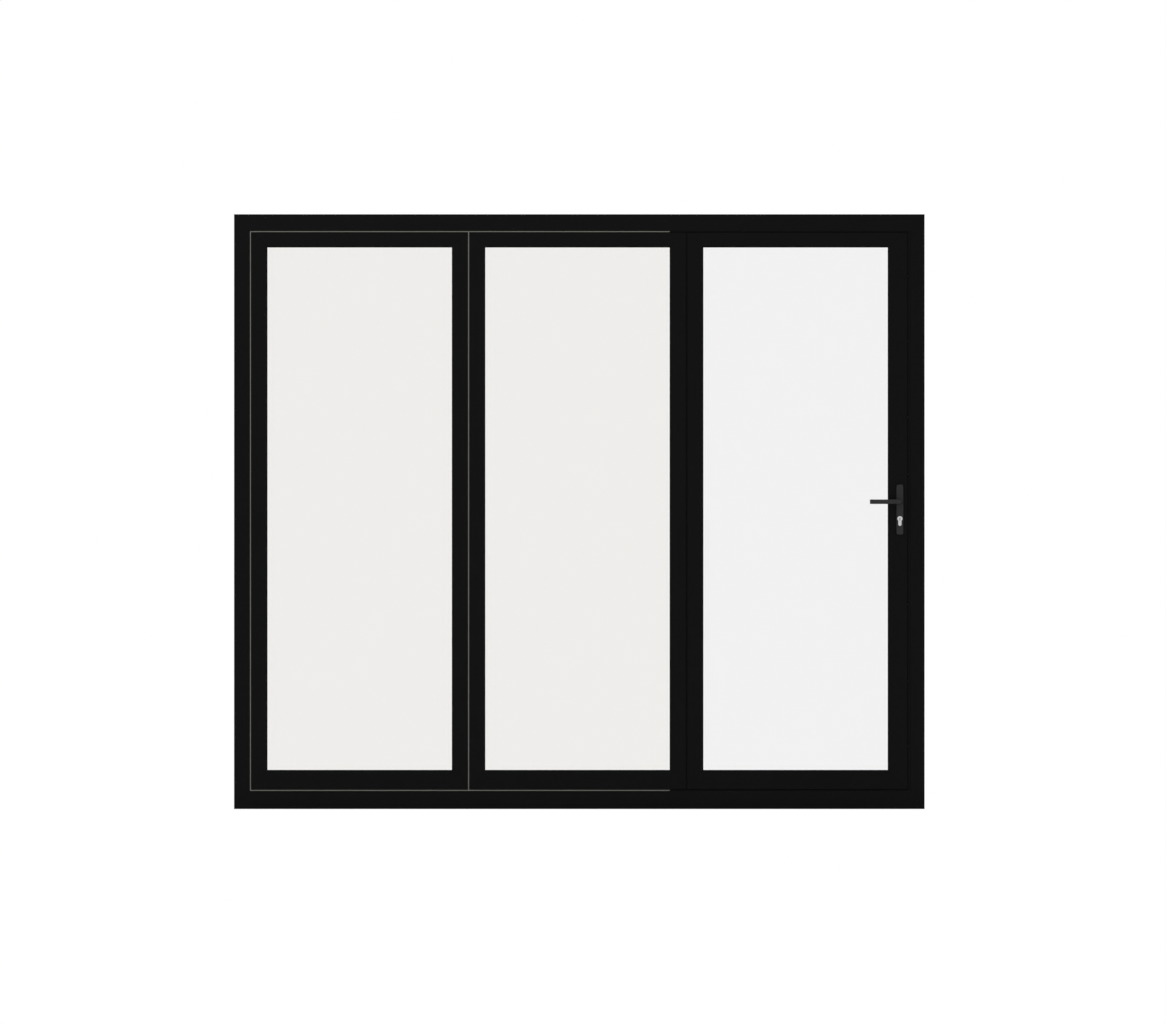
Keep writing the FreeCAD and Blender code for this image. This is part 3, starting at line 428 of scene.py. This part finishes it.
def rolled_spacer(name, colour):
    """A dull spacer bar with fine rolled lines."""
    material, recipe = new_finish(name)
    lines = recipe.noise(recipe.stretch(recipe.point(), (30.0, 2600.0, 30.0)), scale=1.0, detail=2.0)
    recipe.surface(
        Base_Color=recipe.vary(lines, colour, dark=0.8, light=1.2),
        Roughness=0.42 + 0.16 * lines,
        Metallic=0.6,
        Normal=recipe.bump(lines, strength=0.15, distance=0.00005),
    )
    return material


def dress(names, material):
    """Give CAD nodes a finish."""
    for name in names:
        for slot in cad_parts[name].material_slots:
            slot.material = material


def new_piece(name, mesh, body, material):
    """Link a finished mesh as a piece that rides on a body."""
    bmesh.ops.recalc_face_normals(mesh, faces=mesh.faces[:])
    data = bpy.data.meshes.new(name)
    mesh.to_mesh(data)
    mesh.free()
    data.materials.append(material)
    piece = bpy.data.objects.new(name, data)
    bpy.context.scene.collection.objects.link(piece)
    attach(piece, body)


def add_skin(mesh, sections, closed=False, smooth=False):
    """Join outlines with equal numbers of points by faces, as a closed ring or with a cap at each end."""
    loops = [[mesh.verts.new(spot) for spot in section] for section in sections]
    following = loops[1:] + loops[:1] if closed else loops[1:]
    count = len(loops[0])
    for low, high in zip(loops, following):
        for this in range(count):
            after = (this + 1) % count
            face = mesh.faces.new((low[this], low[after], high[after], high[this]))
            face.smooth = smooth
    if not closed:
        mesh.faces.new(list(reversed(loops[0])))
        mesh.faces.new(loops[-1])


def spots_around(centre, normal, radii):
    """Points around an axis, each at its own radius."""
    side = UP.cross(normal)
    if side.length == 0.0:
        side = RIGHT.copy()
    side.normalize()
    rise = normal.cross(side)
    spots = []
    for index, radius in enumerate(radii):
        angle = 2 * math.pi * index / len(radii)
        spots.append(centre + (side * math.cos(angle) + rise * math.sin(angle)) * radius)
    return spots


def add_ring(mesh, centre, normal, section, sides):
    """Add a ring with a section given by radius and height."""
    add_skin(mesh, [
        spots_around(centre + normal * height, normal, [radius] * sides) for radius, height in section
    ], closed=True)


def hexagon(count, across):
    """Radii of points around a hexagon with this distance from its middle to a side."""
    sector = math.pi / 3
    angles = [2 * math.pi * index / count for index in range(count)]
    return [across / math.cos(angle % sector - sector / 2) for angle in angles]


def add_screw(mesh, centre, normal, radius, height, sides):
    """Add a low screw head with a hexagon socket."""
    socket = hexagon(sides, SOCKET_SHARE * radius)
    rings = [([radius * share] * sides, rise) for share, rise in HEAD_PROFILE]
    rings += [([value * share for value in socket], rise) for share, rise in SOCKET_PROFILE]
    add_skin(mesh, [
        spots_around(centre + normal * height * rise, normal, radii) for radii, rise in rings
    ], smooth=True)


class PATIODOOR_OT_coat_profiles(bpy.types.Operator):
    """Powder coat the outer frame and the bars of the leaves"""

    bl_idname = "patio_door.coat_profiles"
    bl_label = "Coat Profiles"

    def execute(self, context):
        finish = context.scene.patio_door_finish
        coat = powder_coat("black_powder_coat", finish.coat_colour, finish.coat_roughness, finish.coat_gloss)
        dress(FRAME_BARS, coat)
        dress(["%s_%s" % (leaf, bar) for leaf in LEAVES for bar in BARS], coat)
        return {"FINISHED"}


class PATIODOOR_OT_glaze_leaves(bpy.types.Operator):
    """Finish the panes, spacer bars and gaskets of the glazed units"""

    bl_idname = "patio_door.glaze_leaves"
    bl_label = "Glaze Leaves"

    def execute(self, context):
        finish = context.scene.patio_door_finish
        folding_panes = float_glass("folding_leaf_panes", finish.folding_glass)
        dress([leaf + "_glass" for leaf in FOLDING_LEAVES], folding_panes)
        dress(["access_leaf_glass"], float_glass("access_leaf_panes", finish.access_glass))
        dress([leaf + "_spacer" for leaf in LEAVES], rolled_spacer("spacer_bar", finish.spacer_colour))
        gasket = rubber("glazing_gasket", finish.rubber_colour, finish.rubber_gloss)
        dress([leaf + "_gaskets" for leaf in LEAVES], gasket)
        for leaf in LEAVES:
            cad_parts[leaf + "_glass"].visible_shadow = False
        return {"FINISHED"}


class PATIODOOR_OT_finish_seals(bpy.types.Operator):
    """Finish the pale seal of the folding leaves and the black seals"""

    bl_idname = "patio_door.finish_seals"
    bl_label = "Finish Seals"

    def execute(self, context):
        finish = context.scene.patio_door_finish
        dress(["folding_leaf_seal"], rubber("pale_seal", finish.seal_colour, finish.seal_gloss))
        dress(["black_seals"], rubber("black_seal", finish.rubber_colour, finish.rubber_gloss))
        return {"FINISHED"}


class PATIODOOR_OT_add_lip_seal(bpy.types.Operator):
    """Add the black lip seal in the gaps round the access leaf"""

    bl_idname = "patio_door.add_lip_seal"
    bl_label = "Add Lip Seal"

    def execute(self, context):
        sizes = context.scene.patio_door_fittings
        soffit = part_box("head")[0]
        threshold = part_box("sill")[1].z
        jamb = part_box("right_jamb")[0].x
        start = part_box("folding_leaf_seal")[1].x
        hinge_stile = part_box("access_leaf_left_stile")[0].x - SWING_GAP
        front = soffit.y + sizes.seal_setback
        narrow = EDGE_GAP - sizes.seal_clear
        wide = LOCK_GAP - sizes.seal_clear

        def outline(x, z, reach_x, reach_z):
            return [Vector((x + reach_x * share, front + depth, z + reach_z * share)) for share, depth in LIP]

        mesh = bmesh.new()
        add_skin(mesh, [
            outline(start, soffit.z, 0.0, -narrow),
            outline(jamb, soffit.z, -wide, -narrow),
            outline(jamb, threshold, -wide, narrow),
            outline(start, threshold, 0.0, narrow),
        ])
        add_skin(mesh, [
            outline(hinge_stile, threshold + EDGE_GAP, narrow, 0.0),
            outline(hinge_stile, soffit.z - EDGE_GAP, narrow, 0.0),
        ])
        new_piece("access_leaf_lip_seal", mesh, "frame", bpy.data.materials["black_seal"])
        return {"FINISHED"}


class PATIODOOR_OT_finish_hinges(bpy.types.Operator):
    """Finish the hinges, guides, caps and shoot bolt handles"""

    bl_idname = "patio_door.finish_hinges"
    bl_label = "Finish Hinges"

    def execute(self, context):
        finish = context.scene.patio_door_finish
        black = satin_black(
            "hinge_black", finish.fitting_colour, finish.fitting_roughness, finish.fitting_gloss)
        dress((*FRAME_FLAGS, *LEAF_FLAGS, "hinge_pins", "shoot_bolt_handles"), black)
        dress(("track_guides", "fixing_caps"), moulded_nylon("black_nylon", finish.nylon_and_slot_shade_colour))
        return {"FINISHED"}


class PATIODOOR_OT_finish_lock(bpy.types.Operator):
    """Finish the handles, the key cylinder and the lock plates"""

    bl_idname = "patio_door.finish_lock"
    bl_label = "Finish Lock"

    def execute(self, context):
        finish = context.scene.patio_door_finish
        black = satin_black(
            "handle_black", finish.fitting_colour, finish.fitting_roughness, finish.fitting_gloss)
        dress(("outside_plate", "inside_plate", "outside_lever", "inside_lever"), black)
        steel = brushed_metal(
            "brushed_steel", finish.steel_colour, along=(2600.0, 2600.0, 24.0), metallic=0.95)
        dress(("lock_faceplate", "lock_keep", "spindle"), steel)
        nickel = brushed_metal(
            "satin_nickel", finish.nickel_colour, along=(1800.0, 1800.0, 90.0), metallic=0.60)
        dress(("key_cylinder",), nickel)
        return {"FINISHED"}


class PATIODOOR_OT_add_hinge_screws(bpy.types.Operator):
    """Add the screws of the hinges and of the shoot bolt handles"""

    bl_idname = "patio_door.add_hinge_screws"
    bl_label = "Add Hinge Screws"

    def execute(self, context):
        sizes = context.scene.patio_door_fittings
        black = bpy.data.materials["hinge_black"]
        for name, flags, body in (
            ("fixed_hinge_screws", FRAME_FLAGS, "frame"), ("moving_hinge_screws", LEAF_FLAGS, "access_leaf"),
        ):
            mesh = bmesh.new()
            for node, pin_on_right in flags.items():
                self.add_flag_screws(mesh, node, pin_on_right, sizes)
            new_piece(name, mesh, body, black)

        low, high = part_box("shoot_bolt_handles")
        near = BOLT_PLATE_INSET
        far = BOLT_PLATE_LENGTH - BOLT_PLATE_INSET
        mesh = bmesh.new()
        for height in (low.z + near, low.z + far, high.z - far, high.z - near):
            spot = Vector(((low.x + high.x) / 2, low.y + BOLT_PLATE_THICK, height))
            add_screw(mesh, spot, INWARD, sizes.bolt_screw, sizes.head_height, sizes.head_sides)
        new_piece("shoot_bolt_screws", mesh, "frame", black)
        return {"FINISHED"}

    def add_flag_screws(self, mesh, node, pin_on_right, sizes):
        """Add the screws of the three flags in a node."""
        low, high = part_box(node)
        pin, edge = (high.x, low.x) if pin_on_right else (low.x, high.x)
        bottom = low.z + sizes.hinge_height / 2
        top = high.z - sizes.hinge_height / 2
        for middle in (bottom, (bottom + top) / 2, top):
            for rise, share in HINGE_SCREWS:
                spot = Vector((
                    pin + (edge - pin) * share, high.y - FLAG_SETBACK, middle + rise * sizes.hinge_height))
                add_screw(mesh, spot, INWARD, sizes.hinge_screw, sizes.head_height, sizes.head_sides)


class PATIODOOR_OT_add_handle_fittings(bpy.types.Operator):
    """Add the screws, collars and set screws of the handles, and the plug rim and the painted shade in the
    key slot of the key cylinder
    """

    bl_idname = "patio_door.add_handle_fittings"
    bl_label = "Add Handle Fittings"

    def execute(self, context):
        sizes = context.scene.patio_door_fittings
        plate_low, plate_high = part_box("inside_plate")
        lever_low, lever_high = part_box("outside_lever")
        middle = (plate_low.x + plate_high.x) / 2
        axis = (lever_low.z + lever_high.z) / 2
        seats = (
            ("outside_collar", Vector((middle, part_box("outside_plate")[0].y, axis)), OUTWARD),
            ("inside_collar", Vector((middle, plate_high.y, axis)), INWARD),
        )
        self.add_screws(plate_low, plate_high, sizes)
        self.add_collars(seats, sizes)
        self.add_set_screws(seats, sizes)
        self.add_plugs(middle, sizes, context.scene.patio_door_finish)
        return {"FINISHED"}

    def add_screws(self, plate_low, plate_high, sizes):
        """Add the two screws on the inside plate."""
        mesh = bmesh.new()
        for height in (plate_low.z + HANDLE_SCREW_INSET, plate_high.z - HANDLE_SCREW_INSET):
            spot = Vector(((plate_low.x + plate_high.x) / 2, plate_high.y, height))
            add_screw(mesh, spot, INWARD, sizes.handle_screw, sizes.head_height, sizes.head_sides)
        new_piece("handle_screws", mesh, "access_leaf", bpy.data.materials["handle_black"])

    def add_collars(self, seats, sizes):
        """Add a collar on each plate, round the neck of the lever."""
        radius = sizes.collar_radius
        rise = sizes.collar_height
        section = [
            (radius, 0.0), (radius, rise * COLLAR_SHOULDER), (radius - COLLAR_EASE, rise),
            (NECK_CLEAR, rise), (NECK_CLEAR, 0.0),
        ]
        for name, seat, normal in seats:
            mesh = bmesh.new()
            add_ring(mesh, seat, normal, section, sizes.head_sides)
            new_piece(name, mesh, "access_leaf", bpy.data.materials["handle_black"])

    def add_set_screws(self, seats, sizes):
        """Add the set screw under each lever's neck."""
        mesh = bmesh.new()
        for _, seat, normal in seats:
            spot = seat + normal * SET_SCREW_REACH + DOWN * (NECK_RADIUS - SET_SCREW_SINK)
            add_screw(mesh, spot, DOWN, sizes.set_screw, SET_SCREW_HEIGHT, sizes.head_sides)
        new_piece("lever_set_screws", mesh, "lever_handle", bpy.data.materials["brushed_steel"])

    def add_plugs(self, middle, sizes, finish):
        """Add the rim of the plug and a dark filling of the key slot, painted shade of the deep slot, on both
        faces of the key cylinder.
        """
        low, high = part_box("key_cylinder")
        axis = high.z - (high.x - low.x) / 2
        section = [
            (sizes.plug_radius - sizes.plug_rim * inward, sizes.plug_rim * up) for inward, up in RIM_PROFILE]
        rims = bmesh.new()
        # wards holds the dark filling of the key slots: painted shade, not a real part
        wards = bmesh.new()
        for face, normal in ((low.y, OUTWARD), (high.y, INWARD)):
            add_ring(rims, Vector((middle, face, axis)), normal, section, 2 * sizes.head_sides)
            slot = Vector((middle, face, axis - KEYWAY_DROP)) - normal * sizes.slot_shade_depth
            self.add_slot_shade(wards, slot, normal, sizes)
        new_piece("plug_rims", rims, "access_leaf", bpy.data.materials["satin_nickel"])
        # The key slot filling is dark nylon: painted shade of the deep slot, not a nylon part of the real
        # cylinder
        dark = moulded_nylon("key_slot_painted_shade", finish.nylon_and_slot_shade_colour)
        new_piece("key_slot_shade_filling", wards, "access_leaf", dark)

    def add_slot_shade(self, mesh, centre, normal, sizes):
        """Add a dark stepped filling of a key slot behind the face of the plug, as painted shade of the
        slot's depth.
        """
        half = -normal.y * sizes.slot_shade_width / 2
        tall = sizes.slot_shade_height
        front = [centre + Vector((half * across, 0.0, tall * up)) for across, up in SLOT_SHADE_OUTLINE]
        add_skin(mesh, [[spot - normal * SLOT_SHADE_LENGTH for spot in front], front])


class PATIODOOR_OT_add_lock_fittings(bpy.types.Operator):
    """Add the screws of the lock plates and the bolt ends in the faceplate"""

    bl_idname = "patio_door.add_lock_fittings"
    bl_label = "Add Lock Fittings"

    def execute(self, context):
        sizes = context.scene.patio_door_fittings
        steel = bpy.data.materials["brushed_steel"]
        sink = sizes.head_height * LOCK_SCREW_SINK
        face_low, face_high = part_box("lock_faceplate")
        middle = (face_low + face_high) / 2
        mesh = bmesh.new()
        for offset in FACEPLATE_SCREWS:
            spot = Vector((face_high.x - sink, middle.y, middle.z + offset))
            add_screw(mesh, spot, RIGHT, sizes.lock_screw, sizes.head_height, sizes.head_sides)
        new_piece("faceplate_screws", mesh, "access_leaf", steel)

        keep_low, keep_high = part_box("lock_keep")
        mesh = bmesh.new()
        for height in KEEP_SCREWS:
            spot = Vector((keep_low.x + sink, (keep_low.y + keep_high.y) / 2, height))
            add_screw(mesh, spot, LEFT, sizes.lock_screw, sizes.head_height, sizes.head_sides)
        new_piece("keep_screws", mesh, "frame", steel)

        mesh = bmesh.new()
        for height, tall, slope in (
            (LATCH_AXIS, sizes.latch_height, LATCH_SLOPE),
            (DEAD_BOLT_AXIS, sizes.latch_height, DEAD_BOLT_SLOPE),
            (middle.z - HOOK_OFFSET, sizes.hook_height, HOOK_SLOPE),
            (middle.z + HOOK_OFFSET, sizes.hook_height, HOOK_SLOPE),
        ):
            self.add_bolt(mesh, Vector((face_low.x + BOLT_FOOT, middle.y, height)), tall, slope, sizes)
        new_piece("lock_bolts", mesh, "access_leaf", steel)
        return {"FINISHED"}

    def add_bolt(self, mesh, foot, tall, slope, sizes):
        """Add the end of a bolt whose room side slopes away over a share of its width."""
        half_width = sizes.bolt_width / 2
        half_tall = tall / 2

        def level(rise, ease, slant):
            outside = ease - half_width
            room = half_width - max(ease, slant)
            bottom = ease - half_tall
            top = half_tall - ease
            corners = ((outside, bottom), (room, bottom), (room, top), (outside, top))
            return [foot + Vector((rise, across, along)) for across, along in corners]

        add_skin(mesh, [
            level(0.0, 0.0, 0.0),
            level(sizes.bolt_depth - BOLT_EASE, 0.0, 0.0),
            level(sizes.bolt_depth, BOLT_EASE, sizes.bolt_width * slope),
        ])


class PATIODOOR_OT_set_stage(bpy.types.Operator):
    """Set the floor, the light and the camera"""

    bl_idname = "patio_door.set_stage"
    bl_label = "Set Stage"

    def execute(self, context):
        stage = context.scene.patio_door_stage
        self.add_floor(context.scene, stage)
        self.add_world(context.scene, stage)
        self.add_lamp(context.scene, "key_lamp", stage.key_power, stage.lamp_size, KEY_PLACE)
        self.add_lamp(context.scene, "back_lamp", stage.back_power, stage.lamp_size, BACK_PLACE)
        self.add_camera(context.scene, stage)
        context.scene.view_settings.view_transform = "Standard"
        return {"FINISHED"}

    def add_floor(self, scene, stage):
        """Add a pale floor that the camera sees as nearly white, with the door's shadow."""
        mesh = bmesh.new()
        bmesh.ops.create_grid(mesh, x_segments=1, y_segments=1, size=stage.floor_size / 2)
        data = bpy.data.meshes.new("floor")
        mesh.to_mesh(data)
        mesh.free()
        floor = bpy.data.objects.new("floor", data)
        floor.location.z = cad_low.z
        scene.collection.objects.link(floor)
        material, recipe = new_finish("pale_floor")
        matt = recipe.add("ShaderNodeBsdfDiffuse", {}, {"Color": opaque(stage.floor_colour)})
        white = recipe.add("ShaderNodeEmission", {}, {"Color": WHITE, "Strength": 1.0})
        seen = recipe.add("ShaderNodeLightPath", output="Is Camera Ray")
        look = recipe.add("ShaderNodeMixShader", {}, {0: seen * (1.0 - stage.floor_shade), 1: matt, 2: white})
        recipe.add("ShaderNodeOutputMaterial", {}, {"Surface": look})
        data.materials.append(material)

    def add_world(self, scene, stage):
        """Add a soft studio that shows as white, and looks darker in mirrors that face the camera."""
        world = bpy.data.worlds.new("white_studio")
        world.use_nodes = True
        recipe = Recipe(world.node_tree)
        camera = recipe.add("ShaderNodeLightPath", output="Is Camera Ray")
        glossy = recipe.add("ShaderNodeLightPath", output="Is Glossy Ray")
        through = recipe.add("ShaderNodeLightPath", output="Is Transmission Ray")
        shown = 1.0 - (1.0 - camera) * (1.0 - glossy) * (1.0 - through)
        direction = recipe.add("ShaderNodeTexCoord", output="Generated")
        inward = recipe.add("ShaderNodeSeparateXYZ", {}, {"Vector": direction}, "Y")
        behind = recipe.add("ShaderNodeMapRange", {"interpolation_type": "SMOOTHSTEP"}, {
            "Value": inward, "From Min": DIM_START, "From Max": DIM_END,
            "To Min": 0.0, "To Max": stage.camera_side,
        })
        mirrored = behind * glossy * (1.0 - through)
        soft = recipe.add("ShaderNodeBackground", {}, {"Color": WHITE, "Strength": stage.soft_light})
        clear = recipe.add("ShaderNodeBackground", {}, {"Color": WHITE, "Strength": 1.0})
        dark = recipe.add("ShaderNodeBackground", {}, {"Color": WHITE, "Strength": 0.0})
        light = recipe.add("ShaderNodeMixShader", {}, {0: shown, 1: soft, 2: clear})
        light = recipe.add("ShaderNodeMixShader", {}, {0: mirrored, 1: light, 2: dark})
        recipe.add("ShaderNodeOutputWorld", {}, {"Surface": light})
        scene.world = world

    def add_lamp(self, scene, name, power, size, place):
        """Add a broad lamp that the camera sees neither directly nor through the glass."""
        data = bpy.data.lights.new(name, "AREA")
        data.energy = power
        data.size = size
        lamp = bpy.data.objects.new(name, data)
        lamp.location = place
        lamp.rotation_mode = "QUATERNION"
        lamp.rotation_quaternion = (LAMP_AIM - place).to_track_quat("-Z", "Y")
        lamp.visible_camera = False
        lamp.visible_transmission = False
        scene.collection.objects.link(lamp)

    def add_camera(self, scene, stage):
        """Add a level camera without perspective, straight in front of the door."""
        data = bpy.data.cameras.new("photo_view")
        data.type = "ORTHO"
        data.ortho_scale = stage.view_width
        camera = bpy.data.objects.new("photo_view", data)
        camera.location = (stage.view_across, -stage.view_distance, stage.view_height)
        camera.rotation_euler = (math.pi / 2, 0.0, 0.0)
        scene.collection.objects.link(camera)
        scene.camera = camera


GROUPS = (
    ("patio_door_finish", PatioDoorFinish),
    ("patio_door_fittings", PatioDoorFittings),
    ("patio_door_stage", PatioDoorStage),
)
OPERATORS = (
    PATIODOOR_OT_coat_profiles,
    PATIODOOR_OT_glaze_leaves,
    PATIODOOR_OT_finish_seals,
    PATIODOOR_OT_add_lip_seal,
    PATIODOOR_OT_finish_hinges,
    PATIODOOR_OT_finish_lock,
    PATIODOOR_OT_add_hinge_screws,
    PATIODOOR_OT_add_handle_fittings,
    PATIODOOR_OT_add_lock_fittings,
    PATIODOOR_OT_set_stage,
)


class PATIODOOR_PT_sidebar(bpy.types.Panel):
    """The door's finishes, fittings and stage"""

    bl_idname = "PATIODOOR_PT_sidebar"
    bl_label = "Patio Door"
    bl_space_type = "VIEW_3D"
    bl_region_type = "UI"
    bl_category = "Patio Door"

    def draw(self, context):
        for name, group in GROUPS:
            column = self.layout.column(align=True)
            for field in group.__annotations__:
                column.prop(getattr(context.scene, name), field)
        for operator in OPERATORS:
            self.layout.operator(operator.bl_idname)


def register():
    for name, group in GROUPS:
        bpy.utils.register_class(group)
        setattr(bpy.types.Scene, name, PointerProperty(type=group))
    for operator in OPERATORS:
        bpy.utils.register_class(operator)
    bpy.utils.register_class(PATIODOOR_PT_sidebar)


def unregister():
    bpy.utils.unregister_class(PATIODOOR_PT_sidebar)
    for operator in reversed(OPERATORS):
        bpy.utils.unregister_class(operator)
    for name, group in reversed(GROUPS):
        delattr(bpy.types.Scene, name)
        bpy.utils.unregister_class(group)


def main():
    register()
    bpy.ops.patio_door.coat_profiles()
    bpy.ops.patio_door.glaze_leaves()
    bpy.ops.patio_door.finish_seals()
    bpy.ops.patio_door.add_lip_seal()
    bpy.ops.patio_door.finish_hinges()
    bpy.ops.patio_door.finish_lock()
    bpy.ops.patio_door.add_hinge_screws()
    bpy.ops.patio_door.add_handle_fittings()
    bpy.ops.patio_door.add_lock_fittings()
    bpy.ops.patio_door.set_stage()


if __name__ == "__main__":
    main()
